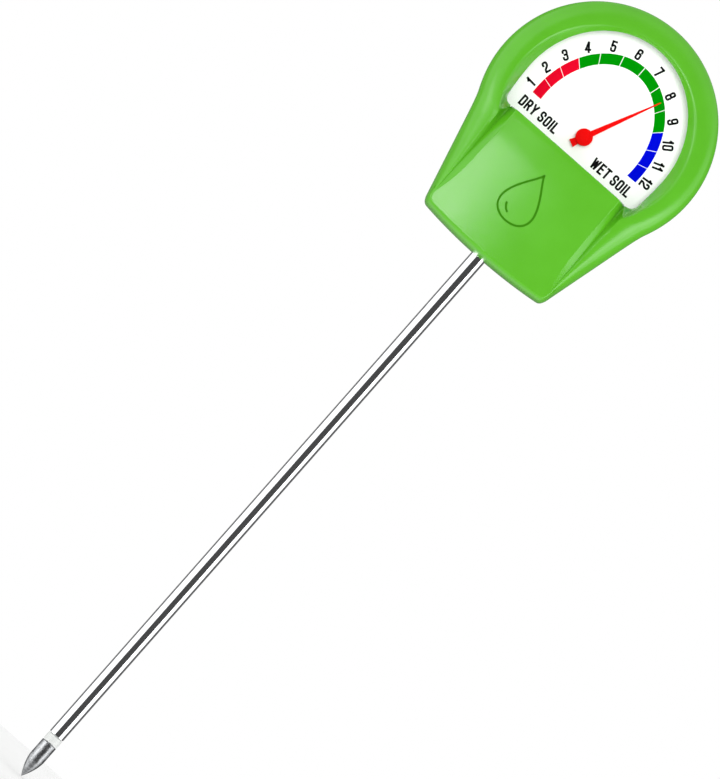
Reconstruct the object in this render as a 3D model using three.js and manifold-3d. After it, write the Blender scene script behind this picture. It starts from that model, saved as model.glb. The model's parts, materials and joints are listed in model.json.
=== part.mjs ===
// Soil moisture meter: a round-topped dial head on a single rod probe that is pushed into soil.
// Millimetres, +Z up. The origin is the point of the probe and the dial faces -Y.
//
// The head is drawn in its own frame: x to the right, y up the dial, z out towards the reader,
// with its origin at the centre of the round top. The head group turns that frame upright.
import * as THREE from 'three';
import { mergeVertices } from 'three/addons/utils/BufferGeometryUtils.js';
import { ConvexGeometry } from 'three/addons/geometries/ConvexGeometry.js';
import Module from 'manifold-3d';

const wasm = await Module();
wasm.setup();

// ---- Driving dimensions -------------------------------------------------------------------

const PROBE_LENGTH = 198.4; // probe point to the underside of the head
const PROBE_RADIUS = 2.45;
const TUBE_WALL = 0.45;
const TIP_LENGTH = 12.4;
const NOSE_LENGTH = 7.2; // part of the tip that narrows to the point
const RING_LENGTH = 2.4;
const TUBE_INSIDE_HEAD = 13;

const HEAD_RADIUS = 35; // round top of the head
const HEAD_DROP = 51; // centre of the round top down to the underside
const HEAD_CENTRE_Z = PROBE_LENGTH + HEAD_DROP;
const REAR_DEPTH = 23; // seam to the flat back
const SIDE_HEIGHT = 6; // seam to the front edge of the side wall
const WALL = 2.2;
const GAP = 0.3; // clearance left between fitted pieces

const CREST_RADIUS = 28.4; // ridge around the dial opening
const WINDOW_HALF_WIDTH = 25.25;
const WINDOW_TOP = 27.4;
const WINDOW_BOTTOM = -12.3;
const WINDOW_PLANE = 8; // lip of the dial opening, in front of the seam
const LIP_BACK = 6.8;
const LENS_THICKNESS = 1.2;
const LENS_OVERLAP = 1.3; // how far the lens and dial reach behind the lip
const DIAL_FRONT = 3;
const DIAL_THICKNESS = 0.8;

const PIVOT_Y = -5.24; // needle axis, below the centre of the round top
const NEEDLE_LENGTH = 24.1;
const NEEDLE_REST_DEG = 24.3; // needle's rest reading, clockwise from straight up
const HUB_RADIUS = 2.55;
const SPINDLE_RADIUS = 0.5;

const SCREW_SEAT = 9; // seat of the housing screws, behind the seam
const HOUSING_SCREWS = [
  ['upper_left', -23.2, 19.5],
  ['upper_right', 23.2, 19.5],
  ['lower_left', -14.5, -39],
  ['lower_right', 14.5, -39],
];
const MOVEMENT_SCREW_X = 29.9;
const MOVEMENT_SCREW_Y = -2;

const ROUND = 16; // sides on a small round piece

// ---- Materials ----------------------------------------------------------------------------

const material = (color, roughness, metalness) =>
  new THREE.MeshStandardMaterial({ color, roughness, metalness });

const MATERIALS = {
  greenPlastic: material(0x63c832, 0.38, 0),
  whitePlastic: material(0xf2f2ee, 0.5, 0),
  dialWhite: material(0xfbfbfb, 0.6, 0),
  clearPlastic: material(0xdfeeee, 0.08, 0),
  needleRed: material(0xe8101a, 0.45, 0),
  frameBlack: material(0x26282a, 0.55, 0),
  bobbinNylon: material(0xd8d2c0, 0.5, 0),
  stainless: material(0xc4c8cc, 0.18, 1),
  castZinc: material(0x8f9296, 0.5, 1),
  zincSteel: material(0xb4b8bc, 0.35, 1),
  brass: material(0xc9a24a, 0.3, 1),
  copperWire: material(0xb4632c, 0.35, 1),
  magnet: material(0x4a4c50, 0.5, 0.6),
  springBronze: material(0xb98d4a, 0.3, 1),
  redWire: material(0xc0181c, 0.5, 0),
  blackWire: material(0x1a1a1c, 0.5, 0),
};

// ---- Solids -------------------------------------------------------------------------------

function toSolid(geometry) {
  const bare = geometry.clone();
  bare.deleteAttribute('normal');
  bare.deleteAttribute('uv');
  const merged = mergeVertices(bare, 1e-4);
  const mesh = new wasm.Mesh({
    numProp: 3,
    vertProperties: merged.attributes.position.array,
    triVerts: Uint32Array.from(merged.index.array),
  });
  return new wasm.Manifold(mesh);
}

function toGeometry(solid) {
  const mesh = solid.getMesh();
  const geometry = new THREE.BufferGeometry();
  geometry.setAttribute('position', new THREE.BufferAttribute(mesh.vertProperties, 3));
  geometry.setIndex(new THREE.BufferAttribute(mesh.triVerts, 1));
  geometry.computeVertexNormals();
  return geometry;
}

// Closed body through rings of points that run counter-clockwise, from the lowest z upwards.
function loft(rings) {
  const count = rings[0].length;
  const positions = rings.flat().flatMap((point) => [point.x, point.y, point.z]);
  const caps = THREE.ShapeUtils.triangulateShape(rings[0], []);
  const top = THREE.ShapeUtils.triangulateShape(rings.at(-1), []);
  const topStart = (rings.length - 1) * count;
  const faces = [
    ...caps.flatMap(([a, b, c]) => [a, c, b]),
    ...top.flatMap(([a, b, c]) => [topStart + a, topStart + b, topStart + c]),
  ];
  for (let level = 0; level < rings.length - 1; level += 1) {
    for (let k = 0; k < count; k += 1) {
      const next = (k + 1) % count;
      const low = level * count;
      const high = low + count;
      faces.push(low + k, low + next, high + next, low + k, high + next, high + k);
    }
  }
  const geometry = new THREE.BufferGeometry();
  geometry.setAttribute('position', new THREE.Float32BufferAttribute(positions, 3));
  geometry.setIndex(faces);
  geometry.computeVertexNormals();
  return geometry;
}

const box = (x0, x1, y0, y1, z0, z1) =>
  new THREE.BoxGeometry(x1 - x0, y1 - y0, z1 - z0)
    .translate((x0 + x1) / 2, (y0 + y1) / 2, (z0 + z1) / 2);

// Round bar along z between two heights.
const bar = (radius, x, y, z0, z1, sides = ROUND) =>
  new THREE.CylinderGeometry(radius, radius, z1 - z0, sides)
    .rotateX(Math.PI / 2)
    .translate(x, y, (z0 + z1) / 2);

// Body turned about z from a closed profile of [radius, height] pairs.
const turned = (profile, sides = ROUND) =>
  new THREE.LatheGeometry(profile.map(([r, h]) => new THREE.Vector2(r, h)), sides)
    .rotateX(Math.PI / 2);

const washer = (inner, outer, z0, z1, sides = ROUND) =>
  turned([[inner, z0], [outer, z0], [outer, z1], [inner, z1], [inner, z0]], sides);

function joined(geometries) {
  return geometries.map(toSolid).reduce((whole, solid) => whole.add(solid));
}

// ---- Outlines of the head -----------------------------------------------------------------

const point = (x, y) => new THREE.Vector2(x, y);
const line = (a, b) => new THREE.LineCurve(a, b);
const bend = (a, b, c) => new THREE.QuadraticBezierCurve(a, b, c);
const arc = (rx, ry, fromDeg, toDeg) => new THREE.EllipseCurve(
  0, 0, rx, ry, THREE.MathUtils.degToRad(fromDeg), THREE.MathUtils.degToRad(toDeg),
);

// Closed ring from the curves of its right half, bottom centre to top centre, each with its steps.
function mirroredRing(curves) {
  const half = curves.flatMap(([curve, steps]) => curve.getPoints(steps).slice(0, -1));
  const [lastCurve] = curves.at(-1);
  half.push(lastCurve.getPoint(1));
  half[0].x = 0;
  half.at(-1).x = 0;
  const left = half.slice(1, -1).reverse().map((p) => point(-p.x, p.y));
  return [...half, ...left];
}

const OUTLINE = mirroredRing([
  [bend(point(0, -HEAD_DROP), point(11, -HEAD_DROP), point(20.9, -49.7)), 4],
  [bend(point(20.9, -49.7), point(22.6, -49.5), point(23.1, -46.9)), 3],
  [line(point(23.1, -46.9), point(29.6, -21.8)), 5],
  [bend(point(29.6, -21.8), point(31.05, -16.2), point(31.97, -14.24)), 3],
  [arc(HEAD_RADIUS, HEAD_RADIUS, -24, 90), 17],
]);

const CREST = mirroredRing([
  [bend(point(0, -46.6), point(11, -46.6), point(19.8, -45.8)), 4],
  [bend(point(19.8, -45.8), point(21.7, -45.6), point(21.8, -43.6)), 3],
  [line(point(21.8, -43.6), point(23.1, -18)), 5],
  [bend(point(23.1, -18), point(23.2, -16.2), point(24.08, -15.05)), 3],
  [arc(CREST_RADIUS, CREST_RADIUS, -32, 90), 17],
]);

const WINDOW = mirroredRing([
  [line(point(0, WINDOW_BOTTOM), point(22, WINDOW_BOTTOM)), 4],
  [bend(point(22, WINDOW_BOTTOM), point(24.3, WINDOW_BOTTOM), point(24.55, -9.9)), 4],
  [bend(point(24.55, -9.9), point(WINDOW_HALF_WIDTH, -4.5), point(WINDOW_HALF_WIDTH, 0)), 3],
  [arc(WINDOW_HALF_WIDTH, WINDOW_TOP, 0, 90), 14],
]);

// The ridge again, closed straight across below the opening.
const POCKET_MOUTH = mirroredRing([
  [line(point(0, -16.4), point(22.4, -16.4)), 4],
  [bend(point(22.4, -16.4), point(23.2, -16.2), point(24.08, -15.05)), 4],
  [arc(CREST_RADIUS, CREST_RADIUS, -32, 0), 3],
  [arc(CREST_RADIUS, CREST_RADIUS, 0, 90), 14],
]);

// Ring moved inwards by a distance, or outwards by a negative one.
function inset(ring, distance) {
  return ring.map((here, k) => {
    const before = ring.at(k - 1);
    const after = ring[(k + 1) % ring.length];
    const into = new THREE.Vector2().subVectors(here, before).normalize();
    const out = new THREE.Vector2().subVectors(after, here).normalize();
    const inwards = point(-into.y, into.x);
    const bisector = point(-into.y - out.y, into.x + out.x).normalize();
    return here.clone().addScaledVector(bisector, distance / bisector.dot(inwards));
  });
}

const raised = (ring, height) =>
  ring.map((p) => new THREE.Vector3(p.x, p.y, typeof height === 'number' ? height : height(p.y)));

// Ring between two others: across in the plane, rise in height.
const between = (low, high, across, rise) => low.map((p, k) => new THREE.Vector3(
  THREE.MathUtils.lerp(p.x, high[k].x, across),
  THREE.MathUtils.lerp(p.y, high[k].y, across),
  THREE.MathUtils.lerp(p.z, high[k].z, rise),
));

const slab = (ring, z0, z1) => loft([raised(ring, z0), raised(ring, z1)]);

const REAR_MIDDLE_Y = -8; // the rear cover narrows towards this height
const scaled = (ring, factor) =>
  ring.map((p) => point(p.x * factor, REAR_MIDDLE_Y + (p.y - REAR_MIDDLE_Y) * factor));

// ---- Front cover --------------------------------------------------------------------------

// The ridge climbs from the top of the dial down to its lower corners, then nearly levels out.
const RIDGE_CORNER_Y = -16.2;
function ridgeHeight(y) {
  const onRound = (at) => 11.8 - 0.0919 * at;
  const belowCorner = Math.min(0, y - RIDGE_CORNER_Y);
  return onRound(Math.max(y, RIDGE_CORNER_Y)) - 0.03 * belowCorner;
}

// Crowned panel below the dial, as rows of [y, half width, height, spread of its foot].
const PANEL_ROWS = [
  [WINDOW_BOTTOM, 19.9, 15.8, 1.7],
  [-30, 20.6, 15.6, 1.1],
  [-45, 21.6, 14.7, 0],
  [-48.3, 21.4, 13.2, 0],
  [-50.1, 20.4, 10, 0],
];
const PANEL_CROWN = 1.1;
const PANEL_FOOT = WINDOW_PLANE - 0.1;

function panelSolid() {
  const across = [-1, -0.5, 0, 0.5, 1];
  const points = PANEL_ROWS.flatMap(([y, halfWidth, height, spread]) => across.flatMap((f) => [
    new THREE.Vector3(f * halfWidth, y, height - PANEL_CROWN * f * f),
    new THREE.Vector3(f * (halfWidth + spread), y, PANEL_FOOT),
  ]));
  return toSolid(new ConvexGeometry(points));
}

// Tapering groove between the panel and the side wing; side is 1 on the right, -1 on the left.
function grooveSolid(side) {
  const corners = [
    [20, -12, 8.2],
    [20, -12, 18],
    [21.9, -12, 8.2],
    [25.4, -12, 13.7],
    [25.4, -12, 18],
    [21.6, -45, 14.1],
    [21.6, -45, 18],
    [21.9, -45, 18],
  ];
  return toSolid(new ConvexGeometry(corners.map(([x, y, z]) => new THREE.Vector3(side * x, y, z))));
}

// Way for the probe through the underside, down the y axis.
const PROBE_WAY = 12;
const probeHole = () =>
  new THREE.CylinderGeometry(PROBE_RADIUS + GAP, PROBE_RADIUS + GAP, PROBE_WAY, ROUND)
    .translate(0, PROBE_WAY / 2 - HEAD_DROP - 1, 0);

const COLLAR_RIB = { halfWidth: 7, y0: -44.6, y1: -43.2 };
const BOSS_RADIUS = 2.4;
const PILOT_RADIUS = 1.5;

function frontCover() {
  const side = raised(OUTLINE, SIDE_HEIGHT);
  const ridge = raised(CREST, ridgeHeight);
  const body = toSolid(loft([
    raised(OUTLINE, GAP / 2),
    side,
    between(side, ridge, 0.1, 0.4),
    between(side, ridge, 0.35, 0.78),
    ridge,
  ]));

  const mouth = raised(POCKET_MOUTH, ridgeHeight);
  const lip = raised(WINDOW, WINDOW_PLANE);
  const pocket = toSolid(loft([raised(WINDOW, -1), lip, between(lip, mouth, 1.35, 1.35)]));
  const face = body.subtract(pocket)
    .subtract(grooveSolid(1))
    .subtract(grooveSolid(-1))
    .add(panelSolid());

  const cavity = joined([
    slab(inset(OUTLINE, WALL), -1, 5.2),
    slab(inset(WINDOW, -LENS_OVERLAP - GAP), 5, LIP_BACK),
    box(-17.4, 17.4, -46, -14.6, 4, 12.6),
  ]);
  const posts = joined([
    ...HOUSING_SCREWS.map(([, x, y]) => bar(BOSS_RADIUS, x, y, GAP / 2, y > 0 ? 6 : 13)),
    ...[-1, 1].map((s) => bar(BOSS_RADIUS, s * MOVEMENT_SCREW_X, MOVEMENT_SCREW_Y, 2.2, 6)),
    box(-COLLAR_RIB.halfWidth, COLLAR_RIB.halfWidth, COLLAR_RIB.y0, COLLAR_RIB.y1, GAP / 2, 13),
  ]);
  const holes = joined([
    ...HOUSING_SCREWS.map(([, x, y]) => bar(PILOT_RADIUS, x, y, -1, y > 0 ? 6.2 : 10)),
    ...[-1, 1].map((s) => bar(1.2, s * MOVEMENT_SCREW_X, MOVEMENT_SCREW_Y, -1, 6)),
    probeHole(),
  ]);
  return toGeometry(face.subtract(cavity.subtract(posts)).subtract(holes));
}

// ---- Rear cover ---------------------------------------------------------------------------

// Sections of the rear cover from the back forwards, as [scale, depth behind the seam].
const REAR_SECTIONS = [[0.72, 1], [0.82, 0.97], [0.9, 0.88], [0.955, 0.74], [0.985, 0.61], [1, 0.43]];

function rearCover() {
  const inner = inset(OUTLINE, WALL);
  const innerDepth = REAR_DEPTH - WALL;
  const bowl = (ring, depth, mouthZ) => toSolid(loft([
    ...REAR_SECTIONS.map(([factor, part]) => raised(scaled(ring, factor), -part * depth)),
    raised(ring, mouthZ),
  ]));
  const keep = joined([
    ...HOUSING_SCREWS.map(([, x, y]) => bar(3.5, x, y, -REAR_DEPTH, -GAP / 2)),
    box(-COLLAR_RIB.halfWidth, COLLAR_RIB.halfWidth, COLLAR_RIB.y0, COLLAR_RIB.y1, -REAR_DEPTH, -GAP / 2),
  ]);
  const seam = joined([box(-HEAD_RADIUS, HEAD_RADIUS, -HEAD_DROP - 1, HEAD_RADIUS, -GAP / 2, 2)]);
  const holes = joined([
    ...HOUSING_SCREWS.map(([, x, y]) => bar(1.6, x, y, -REAR_DEPTH, 1)),
    ...HOUSING_SCREWS.map(([, x, y]) => bar(2.7, x, y, -REAR_DEPTH - 1, -SCREW_SEAT)),
    probeHole(),
  ]);
  const cavity = bowl(inner, innerDepth, 1).subtract(keep);
  return toGeometry(bowl(OUTLINE, REAR_DEPTH, 0).subtract(cavity).subtract(seam).subtract(holes));
}

// Self-tapping screw with a crossed recess, head towards -z, thread towards +z.
function tappingScrew(headRadius, headHeight, shankRadius, shankLength) {
  const shape = turned([
    [0, -headHeight],
    [headRadius * 0.8, -headHeight],
    [headRadius, -headHeight * 0.6],
    [headRadius, 0],
    [shankRadius, 0],
    [shankRadius, shankLength - shankRadius],
    [0, shankLength],
  ]);
  const slot = headRadius * 0.62;
  const halfSlot = headRadius * 0.12;
  const recess = joined([
    box(-slot, slot, -halfSlot, halfSlot, -headHeight - 1, -headHeight * 0.45),
    box(-halfSlot, halfSlot, -slot, slot, -headHeight - 1, -headHeight * 0.45),
  ]);
  return toGeometry(toSolid(shape).subtract(recess));
}

// ---- Dial, lens and needle ----------------------------------------------------------------

const DIAL_RING = inset(WINDOW, -LENS_OVERLAP);

const lens = () => slab(DIAL_RING, LIP_BACK - GAP / 2 - LENS_THICKNESS, LIP_BACK - GAP / 2);

function dialPlate() {
  const plate = toSolid(slab(DIAL_RING, DIAL_FRONT - DIAL_THICKNESS, DIAL_FRONT));
  return toGeometry(plate.subtract(toSolid(bar(1.2, 0, PIVOT_Y, 0, 5))));
}

// Needle, hub and tail in one moulding, pointing along +y, with a blind bore for the spindle.
function needle() {
  const blade = new THREE.Shape([
    point(-0.9, 0),
    point(0.9, 0),
    point(0.12, NEEDLE_LENGTH),
    point(-0.12, NEEDLE_LENGTH),
  ]);
  const tail = new THREE.Shape([point(-1.05, -4.1), point(1.05, -4.1), point(1.05, 0), point(-1.05, 0)]);
  const flat = (shape) => new THREE.ExtrudeGeometry(shape, { depth: 0.4, bevelEnabled: false })
    .translate(0, 0, 4.1);
  const bodies = joined([flat(blade), flat(tail), bar(HUB_RADIUS, 0, 0, 3.6, 5)]);
  return toGeometry(bodies.subtract(toSolid(bar(0.7, 0, 0, 3, 4.6))));
}

// ---- Movement -----------------------------------------------------------------------------

const FRAME_FRONT = 1.9;
const FRAME_BACK = 0.4;
const ARM_Z = [-0.6, 0.1];
const SPRING_Z = [-1.6, -1.1];
const BOBBIN_FRONT = -2.2;
const BOBBIN_BACK = -14.6;
const BOBBIN_HALF = { x: 9.5, y: 8 };
const COIL_CHANNEL = { near: 2.6, far: 6.4, depthZ: 1.2, depthX: 1.5 };
const BOBBIN_MIDDLE = (BOBBIN_FRONT + BOBBIN_BACK) / 2;
const ROTOR_RADIUS = 5;
const ROTOR_HALF = 2.5;
const STOP_RADIUS = 5.2;
const PIN_RADIUS = 0.5;
const ARM_HALF_WIDTH = 0.4;
// The arm just clears a stop when the needle lies level, to the left or to the right.
const STOP_Y = ARM_HALF_WIDTH + PIN_RADIUS + 0.05;
const PEG_X = 8.2; // pegs on the bobbin that enter the frame
const SPRING_OUTER = 3.9;

// Cross-bar that carries the dial and the coil; drawn about the needle axis.
function movementFrame() {
  const strapY = MOVEMENT_SCREW_Y - PIVOT_Y;
  const plate = joined([
    box(-MOVEMENT_SCREW_X - 2.4, MOVEMENT_SCREW_X + 2.4, strapY - 3, strapY + 3, FRAME_BACK, FRAME_FRONT),
    box(-14, 14, -8, 9, FRAME_BACK, FRAME_FRONT),
  ]);
  const holes = joined([
    bar(1.8, 0, 0, 0, 3),
    bar(0.6, 0, SPRING_OUTER, 0, 3, 12),
    ...[-1, 1].flatMap((s) => [
      bar(PIN_RADIUS + 0.2, s * STOP_RADIUS, STOP_Y, 0, 3, 12),
      bar(1.2, s * MOVEMENT_SCREW_X, strapY, 0, 3, 12),
      bar(1.4, s * PEG_X, 0, 0, 3, 12),
    ]),
  ]);
  return toGeometry(plate.subtract(holes));
}

function bobbinHalf(zBack, zFront) {
  const { x, y } = BOBBIN_HALF;
  const { near, far, depthZ, depthX } = COIL_CHANNEL;
  const block = toSolid(box(-x, x, -y, y, zBack, zFront));
  const isFront = zFront === BOBBIN_FRONT;
  const faceZ = isFront ? [zFront - depthZ, zFront + 1] : [zBack - 1, zBack + depthZ];
  const channels = [-1, 1].flatMap((s) => {
    const ys = [Math.min(s * near, s * far), Math.max(s * near, s * far)];
    return [
      box(-x - 1, x + 1, ...ys, ...faceZ),
      box(-x - 1, -x + depthX, ...ys, zBack - 1, zFront + 1),
      box(x - depthX, x + 1, ...ys, zBack - 1, zFront + 1),
    ];
  });
  const room = ROTOR_HALF + 0.8;
  const chamber = bar(ROTOR_RADIUS + 0.8, 0, 0, BOBBIN_MIDDLE - room, BOBBIN_MIDDLE + room);
  const bore = bar(0.8, 0, 0, zBack - 1, zFront + 1);
  const half = block.subtract(joined([...channels, chamber, bore]));
  if (isFront) {
    const pegs = [-1, 1].map((s) => bar(1.1, s * PEG_X, 0, zFront - 1, FRAME_BACK + 1, 12));
    return toGeometry(half.add(joined(pegs)));
  }
  return toGeometry(half.subtract(toSolid(bar(1.8, 0, 0, zBack - 1, zBack + 1.8))));
}

// One bundle of wire wound over the front, sides and back of the bobbin.
function winding(side) {
  const { near, far, depthZ, depthX } = COIL_CHANNEL;
  const clear = 0.15;
  const outer = { x: BOBBIN_HALF.x - clear, z0: BOBBIN_BACK + clear, z1: BOBBIN_FRONT - clear };
  const inner = {
    x: BOBBIN_HALF.x - depthX + clear,
    z0: BOBBIN_BACK + depthZ - clear,
    z1: BOBBIN_FRONT - depthZ + clear,
  };
  const rounded = ({ x, z0, z1 }, r) => {
    const shape = new THREE.Shape();
    shape.moveTo(-x + r, z0);
    shape.lineTo(x - r, z0);
    shape.absarc(x - r, z0 + r, r, -Math.PI / 2, 0);
    shape.absarc(x - r, z1 - r, r, 0, Math.PI / 2);
    shape.absarc(-x + r, z1 - r, r, Math.PI / 2, Math.PI);
    shape.absarc(-x + r, z0 + r, r, Math.PI, 1.5 * Math.PI);
    return shape;
  };
  const loop = rounded(outer, 0.9);
  loop.holes.push(rounded(inner, 0.1));
  const width = far - near - 2 * clear;
  const middle = side * (near + far) / 2;
  return new THREE.ExtrudeGeometry(loop, { depth: width, bevelEnabled: false, curveSegments: 4 })
    .rotateX(Math.PI / 2)
    .translate(0, middle + width / 2, 0);
}

// Spindle with a shoulder for the spring's collet; its rear end turns in the rear bearing.
const spindle = () => turned([
  [0, -13.7],
  [SPINDLE_RADIUS, -13.3],
  [SPINDLE_RADIUS, -1.9],
  [0.85, -1.9],
  [0.85, -0.9],
  [SPINDLE_RADIUS, -0.9],
  [SPINDLE_RADIUS, 4.3],
  [0, 4.3],
]);

const rotorMagnet = () => washer(
  SPINDLE_RADIUS + 0.2, ROTOR_RADIUS, BOBBIN_MIDDLE - ROTOR_HALF, BOBBIN_MIDDLE + ROTOR_HALF,
);

// Arm behind the frame, opposite the needle: it balances the needle and meets the stops.
function balanceArm() {
  const [z0, z1] = ARM_Z;
  const bodies = joined([
    bar(1.4, 0, 0, z0, z1),
    bar(1.15, 0, -3.4, z0, z1),
    box(-ARM_HALF_WIDTH, ARM_HALF_WIDTH, -6, 0, z0, z1),
  ]);
  return toGeometry(bodies.subtract(toSolid(bar(SPINDLE_RADIUS + 0.2, 0, 0, z0 - 1, z1 + 1))));
}

const frontBearing = () => washer(SPINDLE_RADIUS + 0.05, 1.5, FRAME_BACK, FRAME_FRONT);

const rearBearing = () => turned([
  [0, BOBBIN_BACK],
  [1.5, BOBBIN_BACK],
  [1.5, BOBBIN_BACK + 1.5],
  [SPINDLE_RADIUS + 0.05, BOBBIN_BACK + 1.5],
  [SPINDLE_RADIUS + 0.05, BOBBIN_BACK + 0.6],
  [0, BOBBIN_BACK + 0.6],
]);

// Flat spiral of spring strip, from the collet out to its stud straight above the axis.
const SPRING_INNER = 1.15;
const SPRING_TURNS = 4;
const SPRING_THICKNESS = 0.14;
function hairspring() {
  const steps = SPRING_TURNS * ROUND;
  const edge = (shift) => Array.from({ length: steps + 1 }, (_, k) => {
    const turn = k / steps;
    const radius = THREE.MathUtils.lerp(SPRING_INNER, SPRING_OUTER - 0.6, turn) + shift;
    const angle = Math.PI / 2 - (1 - turn) * SPRING_TURNS * 2 * Math.PI;
    return point(radius * Math.cos(angle), radius * Math.sin(angle));
  });
  const strip = new THREE.Shape([...edge(SPRING_THICKNESS), ...edge(0).reverse()]);
  const depth = SPRING_Z[1] - SPRING_Z[0];
  return new THREE.ExtrudeGeometry(strip, { depth, bevelEnabled: false }).translate(0, 0, SPRING_Z[0]);
}

// ---- Probe, drawn upright in the part's own frame ------------------------------------------

const RING_BOTTOM = TIP_LENGTH + GAP;
const TUBE_BOTTOM = RING_BOTTOM + RING_LENGTH + GAP;
const TUBE_TOP = HEAD_CENTRE_Z - HEAD_DROP + TUBE_INSIDE_HEAD;
const STEM_RADIUS = 1.1;
const STEM_TOP = 24;
const ROD_TOP = TUBE_TOP + 8;

// Round bar that narrows to a sharp point, with a stem that joins it to the core rod.
function probeTip() {
  const steps = 7;
  const nose = Array.from({ length: steps + 1 }, (_, k) => {
    const along = k / steps;
    return [PROBE_RADIUS * (1 - (1 - along) ** 1.7), along * NOSE_LENGTH];
  });
  return turned([
    ...nose,
    [PROBE_RADIUS, TIP_LENGTH],
    [STEM_RADIUS, TIP_LENGTH],
    [STEM_RADIUS, STEM_TOP],
    [0, STEM_TOP],
  ]);
}

// Insulating ring with a spigot that enters the tube.
const insulatingRing = () => turned([
  [STEM_RADIUS + 0.25, RING_BOTTOM],
  [PROBE_RADIUS, RING_BOTTOM],
  [PROBE_RADIUS, RING_BOTTOM + RING_LENGTH],
  [PROBE_RADIUS - TUBE_WALL - 0.2, RING_BOTTOM + RING_LENGTH],
  [PROBE_RADIUS - TUBE_WALL - 0.2, STEM_TOP - 3],
  [STEM_RADIUS + 0.25, STEM_TOP - 3],
  [STEM_RADIUS + 0.25, RING_BOTTOM],
]);

const probeTube = () => washer(PROBE_RADIUS - TUBE_WALL, PROBE_RADIUS, TUBE_BOTTOM, TUBE_TOP, 24);

const coreRod = () => bar(0.6, 0, 0, STEM_TOP + GAP, ROD_TOP, 12);

const coreSleeve = () => washer(0.9, PROBE_RADIUS - TUBE_WALL - 0.3, STEM_TOP + GAP, TUBE_TOP + 4);

const headZ = (y) => HEAD_CENTRE_Z + y;
const probeCollar = () => washer(PROBE_RADIUS + 0.25, 4.5, headZ(-48.3), headZ(COLLAR_RIB.y0 - GAP));

// Spring clip around the top of the tube, with a solder tab towards the back.
function tubeClip() {
  const [z0, z1] = [headZ(-41.6), headZ(-39.4)];
  const ring = joined([bar(3.3, 0, 0, z0, z1), box(-1.2, 1.2, 2.5, 6.2, z0 + 0.7, z1 - 0.7)]);
  return toGeometry(ring.subtract(toSolid(bar(PROBE_RADIUS + 0.2, 0, 0, z0 - 1, z1 + 1))));
}

// Insulated wire along a smooth route of points.
function wire(route) {
  const path = new THREE.CatmullRomCurve3(route.map(([x, y, z]) => new THREE.Vector3(x, y, z)));
  const section = new THREE.Shape().absarc(0, 0, 0.55, 0, 2 * Math.PI);
  return new THREE.ExtrudeGeometry(section, {
    extrudePath: path, steps: 16, bevelEnabled: false, curveSegments: 2,
  });
}

const TERMINAL = { x: 6.6, y: PIVOT_Y - BOBBIN_HALF.y, depth: -BOBBIN_MIDDLE + 2.4 };

// ---- Assembly -----------------------------------------------------------------------------

function part(name, geometry, look) {
  const mesh = new THREE.Mesh(geometry, look);
  mesh.name = name;
  return mesh;
}

function housing() {
  const pieces = [
    part('front_cover', frontCover(), MATERIALS.greenPlastic),
    part('rear_cover', rearCover(), MATERIALS.greenPlastic),
    part('window_lens', lens(), MATERIALS.clearPlastic),
    part('dial_plate', dialPlate(), MATERIALS.dialWhite),
  ];
  const screws = HOUSING_SCREWS.map(([place, x, y]) => {
    const screw = part(`housing_screw_${place}`, tappingScrew(2.3, 1.8, 1.2, 13.6), MATERIALS.zincSteel);
    screw.position.set(x, y, -SCREW_SEAT - GAP);
    return screw;
  });
  return [...pieces, ...screws];
}

function movement() {
  const group = new THREE.Group();
  group.position.y = PIVOT_Y;
  const split = GAP / 2;
  group.add(
    part('movement_frame', movementFrame(), MATERIALS.frameBlack),
    part('front_bearing', frontBearing(), MATERIALS.brass),
    part('rear_bearing', rearBearing(), MATERIALS.brass),
    part('coil_bobbin_front', bobbinHalf(BOBBIN_MIDDLE + split, BOBBIN_FRONT), MATERIALS.bobbinNylon),
    part('coil_bobbin_rear', bobbinHalf(BOBBIN_BACK, BOBBIN_MIDDLE - split), MATERIALS.bobbinNylon),
    part('coil_winding_upper', winding(1), MATERIALS.copperWire),
    part('coil_winding_lower', winding(-1), MATERIALS.copperWire),
    part('hairspring', hairspring(), MATERIALS.springBronze),
    part('spring_stud', bar(0.4, 0, SPRING_OUTER, SPRING_Z[0] - 0.2, FRAME_FRONT - 0.2, 12), MATERIALS.brass),
  );
  for (const [side, sign] of [['left', -1], ['right', 1]]) {
    const pin = bar(PIN_RADIUS, sign * STOP_RADIUS, STOP_Y, ARM_Z[0] - 0.3, FRAME_FRONT - 0.1, 16);
    const screw = part(`movement_screw_${side}`, tappingScrew(2, 1.4, 0.9, 5), MATERIALS.zincSteel);
    screw.position.set(sign * MOVEMENT_SCREW_X, MOVEMENT_SCREW_Y - PIVOT_Y, FRAME_BACK - GAP);
    const terminal = bar(0.5, 0, 0, 0, 3.4, 12).rotateX(Math.PI / 2)
      .translate(sign * TERMINAL.x, -BOBBIN_HALF.y - GAP, -TERMINAL.depth);
    group.add(
      part(`stop_pin_${side}`, pin, MATERIALS.brass),
      screw,
      part(`terminal_pin_${side}`, terminal, MATERIALS.brass),
    );
  }

  const turning = new THREE.Group();
  turning.rotation.z = -THREE.MathUtils.degToRad(NEEDLE_REST_DEG);
  turning.add(
    part('needle_pointer', needle(), MATERIALS.needleRed),
    part('spindle', spindle(), MATERIALS.zincSteel),
    part('rotor_magnet', rotorMagnet(), MATERIALS.magnet),
    part('balance_arm', balanceArm(), MATERIALS.brass),
  );
  group.add(turning);
  return group;
}

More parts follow.
